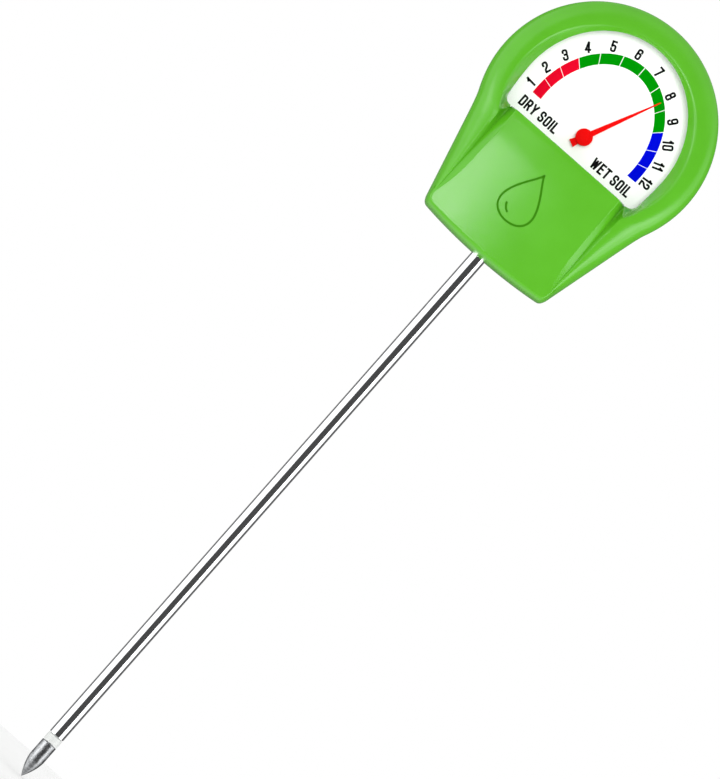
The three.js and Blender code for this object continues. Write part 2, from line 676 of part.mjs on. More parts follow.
function probe() {
  const terminalZ = headZ(TERMINAL.y - 4.6);
  return [
    part('probe_tip', probeTip(), MATERIALS.castZinc),
    part('insulating_ring', insulatingRing(), MATERIALS.whitePlastic),
    part('probe_tube', probeTube(), MATERIALS.stainless),
    part('core_rod', coreRod(), MATERIALS.castZinc),
    part('core_sleeve', coreSleeve(), MATERIALS.whitePlastic),
    part('probe_collar', probeCollar(), MATERIALS.brass),
    part('tube_clip', tubeClip(), MATERIALS.brass),
    part('lead_wire_red', wire([
      [0, 0, ROD_TOP + 0.4],
      [0, 0.6, ROD_TOP + 3],
      [3, 4, ROD_TOP + 7],
      [TERMINAL.x, TERMINAL.depth, terminalZ],
    ]), MATERIALS.redWire),
    part('lead_wire_black', wire([
      [0, 7.2, headZ(-40.5)],
      [-1, 9, headZ(-37)],
      [-5, 10.6, headZ(-28)],
      [-TERMINAL.x, TERMINAL.depth, terminalZ],
    ]), MATERIALS.blackWire),
  ];
}

const head = new THREE.Group();
head.position.z = HEAD_CENTRE_Z;
head.rotation.x = Math.PI / 2;
head.add(...housing(), movement());

const meter = new THREE.Group();
meter.add(head, ...probe());

export default meter;
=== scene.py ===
"""Soil moisture meter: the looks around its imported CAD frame. Metres, +Z up, the dial faces -Y.

The head is drawn in millimetres in its own frame: x to the right, y up the dial, z out towards the
reader, from the centre of the round top. place() turns that frame upright and into metres.
"""
import json
import math

import bmesh
import bpy
from mathutils import Matrix, Vector


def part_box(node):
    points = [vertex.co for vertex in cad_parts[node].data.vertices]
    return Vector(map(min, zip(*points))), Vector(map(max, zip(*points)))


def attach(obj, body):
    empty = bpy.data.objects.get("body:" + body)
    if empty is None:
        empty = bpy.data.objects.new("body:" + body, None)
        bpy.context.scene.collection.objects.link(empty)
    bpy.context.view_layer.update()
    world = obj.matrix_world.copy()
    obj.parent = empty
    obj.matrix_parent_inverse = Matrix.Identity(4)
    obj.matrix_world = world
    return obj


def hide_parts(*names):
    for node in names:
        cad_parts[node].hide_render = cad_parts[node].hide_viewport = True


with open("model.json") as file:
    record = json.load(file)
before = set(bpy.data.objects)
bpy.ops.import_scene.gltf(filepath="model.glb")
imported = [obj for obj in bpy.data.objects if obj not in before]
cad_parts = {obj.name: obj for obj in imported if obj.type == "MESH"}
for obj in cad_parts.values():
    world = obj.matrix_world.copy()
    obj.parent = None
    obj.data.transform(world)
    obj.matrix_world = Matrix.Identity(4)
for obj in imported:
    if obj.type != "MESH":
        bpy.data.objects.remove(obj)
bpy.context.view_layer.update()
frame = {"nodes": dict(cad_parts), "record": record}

MM = 0.001

# ---- Sizes, in millimetres ------------------------------------------------------------------

front_low, front_high = (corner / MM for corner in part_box("front_cover"))
rear_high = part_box("rear_cover")[1] / MM
tube_low, tube_high = (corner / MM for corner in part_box("probe_tube"))
tip_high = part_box("probe_tip")[1] / MM
ring_low, ring_high = (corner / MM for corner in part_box("insulating_ring"))
dial_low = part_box("dial_plate")[0] / MM
needle_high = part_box("needle_pointer")[1] / MM

HEAD_RADIUS = 35  # round top of the head
HEAD_CENTRE_Z = front_high.z - HEAD_RADIUS
HEAD_DROP = HEAD_CENTRE_Z - front_low.z
REAR_DEPTH = rear_high.y
SEAM = -front_high.y  # each cover stays this far from the seam plane
SIDE_HEIGHT = 6
WALL = 2.2
SKIN = 0.9  # thickness of the fine front cover
PROBE_RADIUS = tube_high.x
NOSE_LENGTH = 7.2  # part of the tip that narrows to the point

WINDOW_HALF_WIDTH = 25.25
WINDOW_TOP = 27.4
WINDOW_BOTTOM = -12.3
WINDOW_FLOOR_END = 22  # where the straight lower edge turns up into the corner
WINDOW_PLANE = 8
LIP_BACK = 6.9
DIAL_FRONT = -dial_low.y
PIVOT_Y = -5.24

PANEL_FRONT = -front_low.y
PANEL_FOOT = (22, -45.4)  # where the side groove runs out
PANEL_TOP_FOOT = 21.6  # foot of the panel's side wall at the dial
PANEL_WALL = 1.8  # width of the sloping side wall
PANEL_CROWN = 1.15
PANEL_SHOULDER = -20  # below this height the panel leans back a little
PANEL_LEAN = 0.06
FILLET = 0.45
GROOVE_SHALLOW = 0.9  # depth of most of the side groove, before it drops to the dial

SCREW_SEAT = 9
SCREW_BOSS, SCREW_BORE, SCREW_HEAD_WAY = 3.5, 1.6, 2.7  # radii
HOUSING_SCREWS = {
    "upper_left": (-23.2, 19.5),
    "upper_right": (23.2, 19.5),
    "lower_left": (-14.5, -39),
    "lower_right": (14.5, -39),
}


def place(x, y, z):
    """Point of the head's own frame, in metres in the row frame."""
    return Vector((x, -z, HEAD_CENTRE_Z + y)) * MM


# ---- Lines ----------------------------------------------------------------------------------


def point(x, y):
    return Vector((x, y))


def line(a, b, steps):
    """Straight line from a to b."""
    return [a.lerp(b, k / steps) for k in range(steps + 1)]


def bend(a, b, c, steps):
    """Quadratic curve from a to c, drawn towards b."""
    shares = [k / steps for k in range(steps + 1)]
    return [a.lerp(b, t).lerp(b.lerp(c, t), t) for t in shares]


def arc(rx, ry, from_deg, to_deg, steps, centre=(0, 0)):
    """Stretch of an ellipse, counter-clockwise from the right."""
    angles = [math.radians(from_deg + (to_deg - from_deg) * k / steps) for k in range(steps + 1)]
    return [point(centre[0] + rx * math.cos(a), centre[1] + ry * math.sin(a)) for a in angles]


def chain(*pieces):
    """One line from pieces that meet end to end."""
    return pieces[0] + [p for piece in pieces[1:] for p in piece[1:]]


def resample(points, steps):
    """The same line with its points at equal distances."""
    lengths = [0.0]
    for a, b in zip(points, points[1:]):
        lengths.append(lengths[-1] + (b - a).length)
    found, k = [], 0
    for step in range(steps + 1):
        target = lengths[-1] * step / steps
        while k < len(points) - 2 and lengths[k + 1] < target:
            k += 1
        share = (target - lengths[k]) / (lengths[k + 1] - lengths[k])
        found.append(points[k].lerp(points[k + 1], min(1, share)))
    return found


def mirrored_ring(half):
    """Closed ring from its right half, which runs from bottom centre to top centre."""
    return half + [point(-p.x, p.y) for p in reversed(half[1:-1])]


def inset(ring, distance):
    """Closed ring moved inwards."""
    moved = []
    for k, here in enumerate(ring):
        into = (here - ring[k - 1]).normalized()
        out = (ring[(k + 1) % len(ring)] - here).normalized()
        inwards = point(-into.y, into.x)
        bisector = point(-into.y - out.y, into.x + out.x).normalized()
        moved.append(here + bisector * (distance / bisector.dot(inwards)))
    return moved


# Steps along the right half of the head: underside, lower corner, wing, waist, side and top.
BOTTOM, CORNER, WING, WAIST, SIDE, TOP = 14, 8, 40, 6, 26, 40

OUTLINE = chain(
    bend(point(0, -HEAD_DROP), point(11, -HEAD_DROP), point(20.9, -49.7), BOTTOM),
    bend(point(20.9, -49.7), point(22.6, -49.5), point(23.1, -46.9), CORNER),
    line(point(23.1, -46.9), point(29.6, -21.8), WING),
    bend(point(29.6, -21.8), point(31.05, -16.2), point(31.97, -14.24), WAIST),
    arc(HEAD_RADIUS, HEAD_RADIUS, -24, 0, SIDE),
    arc(HEAD_RADIUS, HEAD_RADIUS, 0, 90, TOP),
)

CREST_RADIUS = 28.4
CREST = chain(
    bend(point(0, -48.8), point(11, -48.8), point(20, -47.9), BOTTOM),
    bend(point(20, -47.9), point(21.9, -47.7), point(*PANEL_FOOT), CORNER),
    line(point(*PANEL_FOOT), point(23.13, -17), WING),
    bend(point(23.13, -17), point(23.2, -16), point(23.8, -15.5), WAIST),
    arc(CREST_RADIUS, CREST_RADIUS, -33.1, 0, SIDE),
    arc(CREST_RADIUS, CREST_RADIUS, 0, 90, TOP),
)


# ---- Heights of the front cover ---------------------------------------------------------------


def panel_height(x, y):
    """Height of the crowned panel below the dial."""
    below = max(0, PANEL_SHOULDER - y)
    lean = PANEL_LEAN * (math.hypot(below, 2) - 2)
    return PANEL_FRONT - lean - PANEL_CROWN * (x / PANEL_FOOT[0]) ** 2


RIDGE_CORNER_Y = -16.2
RIDGE_MIDDLE = 11.8  # height of the ridge beside the centre of the round top
RIDGE_FALL = 0.0919  # how much lower it is for each millimetre further up


def ridge_height(y):
    """The ridge climbs down the round top, then runs on to the foot of the panel."""

    def on_round(at):
        return RIDGE_MIDDLE - RIDGE_FALL * at

    foot_x, foot_y = PANEL_FOOT
    corner = on_round(RIDGE_CORNER_Y)
    fall = (panel_height(foot_x, foot_y) - corner) / (RIDGE_CORNER_Y - foot_y)
    return on_round(max(y, RIDGE_CORNER_Y)) + fall * max(0, RIDGE_CORNER_Y - y)


# ---- Meshes -----------------------------------------------------------------------------------


def patch(rows, closed=False):
    """Quads between rows of points; closed joins the end of each row to its start."""
    width = len(rows[0])
    faces = []
    for low in range(0, (len(rows) - 1) * width, width):
        for k in range(width if closed else width - 1):
            after = (k + 1) % width
            faces.append((low + k, low + after, low + width + after, low + width + k))
    return [p for row in rows for p in row], faces


def mirrored(shape):
    """The same shape on the other side of the middle plane, still facing out."""
    points, faces = shape
    return [Vector((-p.x, p.y, p.z)) for p in points], [tuple(reversed(face)) for face in faces]


def loft(rings):
    """Closed body through rings of points that run counter-clockwise, from the lowest upwards."""
    points, faces = patch(rings, closed=True)
    count = len(rings[0])
    faces.append(tuple(reversed(range(count))))
    faces.append(tuple(range(len(points) - count, len(points))))
    return points, faces


def new_object(name, shapes, weld=1e-6):
    """Object from shapes of points and faces, with the points that coincide welded."""
    bm = bmesh.new()
    for points, faces in shapes:
        verts = [bm.verts.new(p) for p in points]
        for face in faces:
            bm.faces.new([verts[k] for k in face])
    bmesh.ops.remove_doubles(bm, verts=bm.verts, dist=weld)
    bmesh.ops.dissolve_degenerate(bm, edges=bm.edges, dist=weld)
    mesh = bpy.data.meshes.new(name)
    bm.to_mesh(mesh)
    bm.free()
    obj = bpy.data.objects.new(name, mesh)
    bpy.context.scene.collection.objects.link(obj)
    return obj


SHARP_DEG = 38  # edges that turn further than this stay sharp


def settle(obj):
    """Applies the modifiers and shades smooth, but for the sharp edges."""
    graph = bpy.context.evaluated_depsgraph_get()
    obj.data = bpy.data.meshes.new_from_object(obj.evaluated_get(graph))
    obj.modifiers.clear()
    obj.data.shade_smooth()
    obj.data.set_sharp_from_angle(angle=math.radians(SHARP_DEG))
    return obj


def cut(obj, cutter, operation="DIFFERENCE"):
    """Cuts or joins two closed bodies and removes the second."""
    boolean = obj.modifiers.new("cut", "BOOLEAN")
    boolean.operation = operation
    boolean.solver = "EXACT"
    boolean.object = cutter
    settle(obj)
    bpy.data.objects.remove(cutter)
    return obj


def turned(profile, sides=64, to_frame=None):
    """Body turned about the z axis from a profile of (radius, height) that runs up its outside."""
    to_frame = to_frame or (lambda x, y, z: Vector((x, y, z)) * MM)
    rows = []
    for radius, height in profile:
        angles = [2 * math.pi * k / sides for k in range(sides)]
        rows.append([to_frame(radius * math.cos(a), radius * math.sin(a), height) for a in angles])
    return patch(rows, closed=True)


def head_turned(profile, x, y):
    """Turned body in the head's frame, with its axis through x, y."""
    return turned(profile, 48, lambda px, py, pz: place(x + px, y + py, pz))


def head_box(x0, x1, y0, y1, z0, z1):
    """Box in the head's frame."""
    rings = []
    for z in (z0, z1):
        rings.append([place(x, y, z) for x, y in ((x0, y0), (x1, y0), (x1, y1), (x0, y1))])
    return loft(rings)


def finish_piece(obj, body, slot, nodes=(), material=None):
    """Puts a piece on the body that it rides on, and gives it its slot's look or another material."""
    obj.data.materials.clear()
    obj.data.materials.append(material or LOOKS[slot])
    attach(obj, body)
    if nodes:
        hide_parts(*nodes)
    return obj


# ---- Materials --------------------------------------------------------------------------------


def node_maker(tree):
    """Function that adds a node, sets its properties and inputs, and links the inputs given as sockets."""

    def add(kind, props=None, **inputs):
        node = tree.nodes.new(kind)
        for key, value in (props or {}).items():
            setattr(node, key, value)
        for key, value in inputs.items():
            socket = node.inputs[key.replace("_", " ")]
            if isinstance(value, bpy.types.NodeSocket):
                tree.links.new(value, socket)
            else:
                socket.default_value = value
        return node

    return add


def ramp(add, value, stops):
    """Colour ramp with stops of (place, colour)."""
    node = add("ShaderNodeValToRGB", Fac=value)
    elements = node.color_ramp.elements
    while len(elements) < len(stops):
        elements.new(1.0)
    for element, (at, colour) in zip(elements, stops):
        element.position = at
        element.color = (*colour, 1)
    return node.outputs["Color"]


def shade(colour, factor):
    """The colour made darker or lighter."""
    return tuple(min(1, channel * factor) for channel in colour)


def surface(name, colour, roughness, metallic=0.0, mottle=0.05, patch_mm=6.0, uneven=0.12,
            grain_mm=0.3, grain=0.05, stretch=(1, 1, 1), **sockets):
    """Material with soft patches of colour, uneven gloss and a fine grain.

    The sockets given by name are set on the shader directly.
    """
    material = bpy.data.materials.new(name)
    material.use_nodes = True
    tree = material.node_tree
    add = node_maker(tree)
    shader = tree.nodes["Principled BSDF"]
    coords = add("ShaderNodeTexCoord").outputs["Object"]
    spread = add("ShaderNodeMapping", Vector=coords, Scale=stretch).outputs["Vector"]
    wide = add("ShaderNodeTexNoise", Vector=spread, Scale=1 / (patch_mm * MM), Detail=4.0)
    fine = add("ShaderNodeTexNoise", Vector=spread, Scale=1 / (grain_mm * MM), Detail=3.0)
    stops = [(0.3, shade(colour, 1 - mottle)), (0.7, shade(colour, 1 + mottle))]
    tree.links.new(ramp(add, wide.outputs["Fac"], stops), shader.inputs["Base Color"])
    gloss = add("ShaderNodeMapRange", Value=wide.outputs["Fac"], From_Min=0.3, From_Max=0.7,
                To_Min=roughness * (1 - uneven), To_Max=roughness * (1 + uneven))
    tree.links.new(gloss.outputs["Result"], shader.inputs["Roughness"])
    bump = add("ShaderNodeBump", Height=fine.outputs["Fac"], Strength=grain, Distance=grain_mm * MM)
    tree.links.new(bump.outputs["Normal"], shader.inputs["Normal"])
    shader.inputs["Metallic"].default_value = metallic
    for key, value in sockets.items():
        shader.inputs[key.replace("_", " ")].default_value = value
    return material


def clear_plastic():
    """Clear window: what is behind shows through unchanged, with a faint gloss on top."""
    material = bpy.data.materials.new("clear_plastic")
    material.use_nodes = True
    tree = material.node_tree
    add = node_maker(tree)
    tree.nodes.remove(tree.nodes["Principled BSDF"])
    coords = add("ShaderNodeTexCoord").outputs["Object"]
    smears = add("ShaderNodeTexNoise", Vector=coords, Scale=120.0, Detail=3.0).outputs["Fac"]
    rough = add("ShaderNodeMapRange", Value=smears, To_Min=0.02, To_Max=0.09).outputs["Result"]
    through = add("ShaderNodeBsdfTransparent").outputs["BSDF"]
    gloss = add("ShaderNodeBsdfGlossy", Roughness=rough).outputs["BSDF"]
    facing = add("ShaderNodeLayerWeight", Blend=0.2).outputs["Facing"]
    share = add("ShaderNodeMapRange", Value=facing, To_Min=0.004, To_Max=0.14).outputs["Result"]
    mixed = add("ShaderNodeMixShader", Fac=share)
    tree.links.new(through, mixed.inputs[1])
    tree.links.new(gloss, mixed.inputs[2])
    tree.links.new(mixed.outputs["Shader"], tree.nodes["Material Output"].inputs["Surface"])
    return material


GREEN = (0.09, 0.41, 0.0125)
LOOKS = {
    "green_plastic": surface("green_plastic", GREEN, 0.22, mottle=0.03, patch_mm=9, uneven=0.1,
                             grain_mm=0.22, grain=0.1, Specular_IOR_Level=0.42),
    "clear_plastic": clear_plastic(),
    "dial_print": surface("dial_print", (0.94, 0.94, 0.94), 0.55, mottle=0.01, patch_mm=8, grain=0.03),
    "needle_red": surface("needle_red", (0.67, 0.001, 0.001), 0.4, mottle=0.04, patch_mm=2, grain=0.05,
                          Specular_IOR_Level=0.05),
    "black_plastic": surface("black_plastic", (0.018, 0.019, 0.02), 0.5, mottle=0.15),
    "nylon": surface("nylon", (0.62, 0.58, 0.47), 0.45, mottle=0.05, Subsurface_Weight=0.15),
    "stainless": surface("stainless", (0.86, 0.87, 0.88), 0.07, 1.0, mottle=0.02, patch_mm=1.5, uneven=0.3,
                         grain_mm=0.12, grain=0.015, stretch=(1, 1, 0.02)),
    "cast_tip": surface("cast_tip", (0.4, 0.41, 0.42), 0.34, 1.0, mottle=0.4, patch_mm=1.6, uneven=0.3,
                        grain_mm=0.6, grain=0.15),
    "zinc_steel": surface("zinc_steel", (0.55, 0.56, 0.57), 0.3, 1.0, mottle=0.1, patch_mm=1.5),
    "brass": surface("brass", (0.62, 0.42, 0.14), 0.28, 1.0, mottle=0.12, patch_mm=1.5),
    "copper_wire": surface("copper_wire", (0.5, 0.16, 0.05), 0.32, 1.0, mottle=0.2, grain_mm=0.15,
                           grain=0.6, stretch=(0.1, 1, 1)),
    "magnet": surface("magnet", (0.1, 0.1, 0.105), 0.45, 0.6, mottle=0.12, patch_mm=2),
    "spring_bronze": surface("spring_bronze", (0.5, 0.3, 0.1), 0.3, 1.0, mottle=0.1, patch_mm=1),
    "white_plastic": surface("white_plastic", (0.8, 0.82, 0.8), 0.35, mottle=0.03, patch_mm=2),
    "red_wire": surface("red_wire", (0.45, 0.01, 0.012), 0.45, mottle=0.06, patch_mm=2),
    "black_wire": surface("black_wire", (0.015, 0.015, 0.016), 0.45, mottle=0.1, patch_mm=2),
}


def ink(name, colour, mottle=0.03):
    """Printing ink, without gloss; the same flat colour also paints the groove shade of the panel's engraved
    mark.
    """
    return surface("print_" + name, colour, 0.5, mottle=mottle, patch_mm=3, Specular_IOR_Level=0.0)


PRINTS = {
    "red": ink("red", (0.64, 0.002, 0.018)),
    "green": ink("green", (0.0, 0.225, 0.001)),
    "blue": ink("blue", (0.0, 0.002, 0.56)),
    "black": ink("black", (0.01, 0.01, 0.011), 0.1),
    # painted shade: the panel's green made darker along the mark's lines, standing in for the shade in an
    # engraved groove
    "painted_groove_shade": ink("painted_groove_shade", (0.045, 0.24, 0.006)),
}


def dress_cad_nodes():
    """Every CAD node that stays visible gets the look of its own material slot."""
    slots = {part["node"]: part["material_slot"] for part in frame["record"]["subparts"]}
    for name, node in frame["nodes"].items():
        node.data.materials.clear()
        node.data.materials.append(LOOKS[slots[name]])


# ---- Front cover ------------------------------------------------------------------------------

BEVEL_ROWS = 8
CREST_ROUND = 0.35  # how softly the inner slope leaves the crest


def slope(high, low):
    """Points from a high edge down to a low one, rounded off where they leave the high edge."""
    across = (Vector(low[:2]) - Vector(high[:2])).length
    reach = math.hypot(across, CREST_ROUND) - CREST_ROUND
    points = []
    for row in range(BEVEL_ROWS + 1):
        share = row / BEVEL_ROWS
        fall = (math.hypot(across * share, CREST_ROUND) - CREST_ROUND) / reach if reach > 1e-6 else share
        flat = Vector(high).lerp(Vector(low), share)
        points.append((flat.x, flat.y, high[2] + (low[2] - high[2]) * fall))
    return points


def crest_points():
    """The crest with its heights: the edge of the panel, then the ridge around the dial."""
    edge = []
    for k, p in enumerate(CREST):
        on_panel = k <= BOTTOM + CORNER
        edge.append((p.x, p.y, panel_height(p.x, p.y) if on_panel else ridge_height(p.y)))
    return edge


def rim_rows(crest):
    """From the seam up the side wall and over the rounded shoulder to the crest."""
    steps = 12
    levels = [(0.02, SEAM), (0, SEAM + 0.15), (0, SIDE_HEIGHT / 2)]
    rows = [[(*p.lerp(c, share), z) for p, c in zip(OUTLINE, CREST)] for share, z in levels]
    for step in range(steps + 1):
        turn = math.radians(90 * step / steps)
        share, rise = 1 - math.cos(turn), math.sin(turn)
        rows.append([
            (*p.lerp(c, share), SIDE_HEIGHT + (top[2] - SIDE_HEIGHT) * rise)
            for p, c, top in zip(OUTLINE, CREST, crest)
        ])
    return rows


def panel_edge(crest):
    """Stations up the side of the panel, round its top corner and back along the dial to the middle.

    Each station is (start of the rounded edge, outward direction, radius, foot of the wall).
    """
    top_y = WINDOW_BOTTOM - FILLET
    first = BOTTOM + CORNER
    drop = crest[first + WING][2] - WINDOW_PLANE - GROOVE_SHALLOW
    side = []
    for step in range(WING + 1):
        share = step / WING
        line_foot = point(*PANEL_FOOT).lerp(point(PANEL_TOP_FOOT, top_y), share)
        depth = GROOVE_SHALLOW * share**0.8 + drop * share**12
        foot = (line_foot.x, line_foot.y, crest[first + step][2] - depth)
        width = PANEL_WALL * (1 - (1 - share) ** 6)
        edge = point(foot[0] - width, foot[1])
        radius = min(FILLET, 0.4 * width, 0.4 * (panel_height(*edge) - foot[2]))
        side.append((edge - point(radius, 0), point(1, 0), radius, foot))
    inner_x, foot_x = side[-1][0].x, PANEL_TOP_FOOT - FILLET
    corner = []
    for deg in (22.5, 45, 67.5):
        out = point(math.cos(math.radians(deg)), math.sin(math.radians(deg)))
        foot = point(foot_x, top_y) + out * FILLET
        corner.append((point(inner_x, top_y), out, FILLET, (*foot, WINDOW_PLANE)))
    top = []
    for column in range(first, -1, -1):
        share = CREST[column].x / PANEL_FOOT[0]
        foot = (foot_x * share, WINDOW_BOTTOM, WINDOW_PLANE)
        top.append((point(inner_x * share, top_y), point(0, 1), FILLET, foot))
    return side, corner, top


def wall_rows(stations):
    """Up the wall of the panel and over its edge, which is rounded as far as the wall leans."""
    rows = [[foot for _, _, _, foot in stations]]
    for share in (1, 0.75, 0.5, 0.25, 0):
        row = []
        for inner, out, radius, foot in stations:
            top = panel_height(*inner)
            tilt = math.atan2(top - foot[2], (point(*foot[:2]) - inner).length)
            turn = min(math.pi / 2, 1.15 * tilt) * share
            across = inner + out * (radius * math.sin(turn))
            row.append((*across, top - radius * (1 - math.cos(turn))))
        rows.append(row)
    return rows


def panel_rows(crest, side):
    """Crowned face of the panel, from its foot up to the dial."""
    rows = []
    for step, (inner, _, _, _) in enumerate(side):
        share = step / WING
        row = []
        for column in range(BOTTOM + CORNER + 1):
            x = inner.x * CREST[column].x / PANEL_FOOT[0]
            y = CREST[column].y + (inner.y - CREST[column].y) * share
            if column == BOTTOM + CORNER:
                y = inner.y
            row.append((x, y, panel_height(x, y)))
        rows.append(row)
    rows[0] = crest[:BOTTOM + CORNER + 1]
    return rows


def columns_to_rows(columns):
    """The same grid of points, read the other way."""
    return [list(row) for row in zip(*columns)]


WINDOW_CORNER = chain(
    bend(point(WINDOW_FLOOR_END, WINDOW_BOTTOM), point(24.3, WINDOW_BOTTOM), point(24.55, -9.9), 12),
    bend(point(24.55, -9.9), point(WINDOW_HALF_WIDTH, -4.5), point(WINDOW_HALF_WIDTH, 0), 12),
)
WINDOW_ARCH = arc(WINDOW_HALF_WIDTH, WINDOW_TOP, 0, 90, TOP)


def window_line(start):
    """Edge of the dial opening, from the panel's corner round to the top."""
    lower = chain(
        line(start, point(start.x + 0.3, WINDOW_BOTTOM), 2),
        line(point(start.x + 0.3, WINDOW_BOTTOM), point(WINDOW_FLOOR_END, WINDOW_BOTTOM), 4),
        WINDOW_CORNER,
    )
    return chain(resample(lower, WAIST + SIDE), WINDOW_ARCH)


def wall_ring(outer, inner, z0, z1):
    """Closed wall between two rings of the head, from height z0 to z1."""
    levels = ((inner, z0), (outer, z0), (outer, z1), (inner, z1), (inner, z0))
    return patch([[place(*p, z) for p in ring] for ring, z in levels], closed=True)


SURROUND_OUTER, SURROUND_INNER = 2.4, 1.6  # distance outside the window's edge
SEAM_LIP_OUTER, SEAM_LIP_INNER = 1, 1.5  # distance inside the outline


def dial_surround():
    """Wall inside the front cover around the edges of the window and the dial."""
    floor_line = line(point(0, WINDOW_BOTTOM), point(WINDOW_FLOOR_END, WINDOW_BOTTOM), 8)
    ring = mirrored_ring(chain(floor_line, WINDOW_CORNER, WINDOW_ARCH))
    outer, inner = inset(ring, -SURROUND_OUTER), inset(ring, -SURROUND_INNER)
    wall = wall_ring(outer, inner, DIAL_FRONT - 0.8, WINDOW_PLANE - 0.2)
    surround = settle(new_object("dial_surround", [wall]))
    finish_piece(surround, "body", "green_plastic")


def front_cover():
    """Front half of the housing: one skin with panel, grooves, ridge and window, given its thickness."""
    crest = crest_points()
    side, corner, top = panel_edge(crest)
    groove_end = BOTTOM + CORNER + WING
    grooves = [slope(high, station[-1])
               for high, station in zip(crest[BOTTOM + CORNER:groove_end + 1], side)]
    window = [(p.x, p.y, WINDOW_PLANE) for p in window_line(point(*side[-1][-1][:2]))]
    bevels = [slope(high, low) for high, low in zip(crest[groove_end:], window)]
    lip = [window, [(x, y, LIP_BACK) for x, y, _ in window]]
    under = [station[-1] for station in (side[-1], *corner, *top)]
    patches = [
        rim_rows(crest),
        panel_rows(crest, side),
        wall_rows(side + corner + top),
        columns_to_rows(grooves),
        columns_to_rows(bevels),
        lip,
        [[(x, y, LIP_BACK) for x, y, _ in under], under],
    ]
    half = [patch([[place(*p) for p in row] for row in rows]) for rows in patches]
    cover = new_object("front_cover_shell", half + [mirrored(shape) for shape in half], weld=8e-6)
    solidify = cover.modifiers.new("thickness", "SOLIDIFY")
    solidify.thickness = SKIN * MM
    solidify.offset = -1
    settle(cover)
    cut(cover, new_object("way", [probe_way()]))
    return finish_piece(cover, "body", "green_plastic", ["front_cover"])


def probe_way():
    """Bar along the probe through the underside of the head."""
    radius = PROBE_RADIUS + 0.3
    low, high = HEAD_CENTRE_Z - HEAD_DROP - 2, HEAD_CENTRE_Z - HEAD_DROP + 10
    return turned([(0, low), (radius, low), (radius, high), (0, high)], 48)


# ---- Rear cover -------------------------------------------------------------------------------

REAR_MIDDLE_Y = -8  # the rear cover narrows towards this height
REAR_STRAIGHT = 0.43  # share of the depth before the sides turn in
REAR_FLAT = 0.72  # size of the flat back against the outline


def bowl(ring, depth, mouth):
    """Closed body with the outline of the head that rounds in to a flat back."""

    def at(scale, z):
        return [place(p.x * scale, REAR_MIDDLE_Y + (p.y - REAR_MIDDLE_Y) * scale, z) for p in ring]

    steps = 14
    rings = []
    for step in range(steps, -1, -1):
        turn = math.radians(90 * step / steps)
        scale = REAR_FLAT + (1 - REAR_FLAT) * math.cos(turn)
        share = REAR_STRAIGHT + (1 - REAR_STRAIGHT) * math.sin(turn)
        rings.append(at(scale, -share * depth))
    rings.append(at(1, mouth - 0.15))
    rings.append(at(0.9965, mouth))
    return loft(rings)


def rod(radius, x, y, z0, z1):
    """Round bar in the head's frame."""
    return head_turned([(0, z0), (radius, z0), (radius, z1), (0, z1)], x, y)


def rear_cover():
    """Rear half of the housing, with the ways of its screws.

    Known fault: the line of the cavity crosses itself at the two lower corners, which are rounded
    tighter than WALL, so its cut fails and the body stays solid.
    """
    ring = mirrored_ring(OUTLINE)
    cover = new_object("rear_cover_shell", [bowl(ring, REAR_DEPTH, -SEAM)])
    cavity = new_object("cavity", [bowl(inset(ring, WALL), REAR_DEPTH - WALL, 1)])
    for x, y in HOUSING_SCREWS.values():
        cut(cavity, new_object("boss", [rod(SCREW_BOSS, x, y, -REAR_DEPTH - 1, 2)]))
    cut(cover, cavity)
    for x, y in HOUSING_SCREWS.values():
        cut(cover, new_object("bore", [rod(SCREW_BORE, x, y, -REAR_DEPTH, 1)]))
        cut(cover, new_object("seat", [rod(SCREW_HEAD_WAY, x, y, -REAR_DEPTH - 1, -SCREW_SEAT)]))
    cut(cover, new_object("way", [probe_way()]))
    return finish_piece(cover, "body", "green_plastic", ["rear_cover"])


def seam_lip():
    """Lip behind the gap between the two halves of the housing."""
    ring = mirrored_ring(OUTLINE)
    outer, inner = inset(ring, SEAM_LIP_OUTER), inset(ring, SEAM_LIP_INNER)
    lip = new_object("seam_lip", [wall_ring(outer, inner, -1.5, 1.2)])
    cut(lip, new_object("way", [probe_way()]))
    finish_piece(lip, "body", "green_plastic")


def housing_screws():
    """Four screws with domed heads and cross slots."""
    for name, (x, y) in HOUSING_SCREWS.items():
        low, high = (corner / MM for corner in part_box("housing_screw_" + name))
        radius, back, tip = (high.x - low.x) / 2, -high.y, -low.y
        profile = [
            (0, back + 0.25),
            (radius * 0.45, back),
            (radius * 0.8, back + 0.08),
            (radius * 0.96, back + 0.45),
            (radius, back + 0.9),
            (radius, back + 1.8),
            (1.2, back + 1.8),
            (1.2, tip - 1.2),
            (0, tip),
        ]
        screw = new_object(f"screw_{name}", [head_turned(profile, x, y)])
        slot, half, depth = radius * 0.62, radius * 0.12, back + 1.1
        cut(screw, new_object("slot", [head_box(x - slot, x + slot, y - half, y + half, back - 1, depth)]))
        cut(screw, new_object("slot", [head_box(x - half, x + half, y - slot, y + slot, back - 1, depth)]))
        finish_piece(screw, "body", "zinc_steel", ["housing_screw_" + name])


# ---- Dial print -------------------------------------------------------------------------------

PRINT = 0.03  # thickness of the ink
SCALE_CENTRE_Y = -3
SCALE_OUTER = (19.7, 24.3)
SCALE_INNER = (16.6, 21.1)
NUMBER_LINE = (22, 26.4)
NUMBER_STEP = 15.5
LEGEND_LINE = -8.75
DIVISIONS = 12
ZONES = {"red": range(0, 3), "green": range(3, 9), "blue": range(9, 12)}


def on_scale(radii, angle_deg):
    """Where a ray from the needle's axis, clockwise from straight up, meets an ellipse of the scale."""
    rx, ry = radii
    dx, dy = math.sin(math.radians(angle_deg)), math.cos(math.radians(angle_deg))
    offset = PIVOT_Y - SCALE_CENTRE_Y
    a = (dx / rx) ** 2 + (dy / ry) ** 2
    b = 2 * offset * dy / ry**2
    c = (offset / ry) ** 2 - 1
    reach = (-b + math.sqrt(b * b - 4 * a * c)) / (2 * a)
    return point(reach * dx, PIVOT_Y + reach * dy)


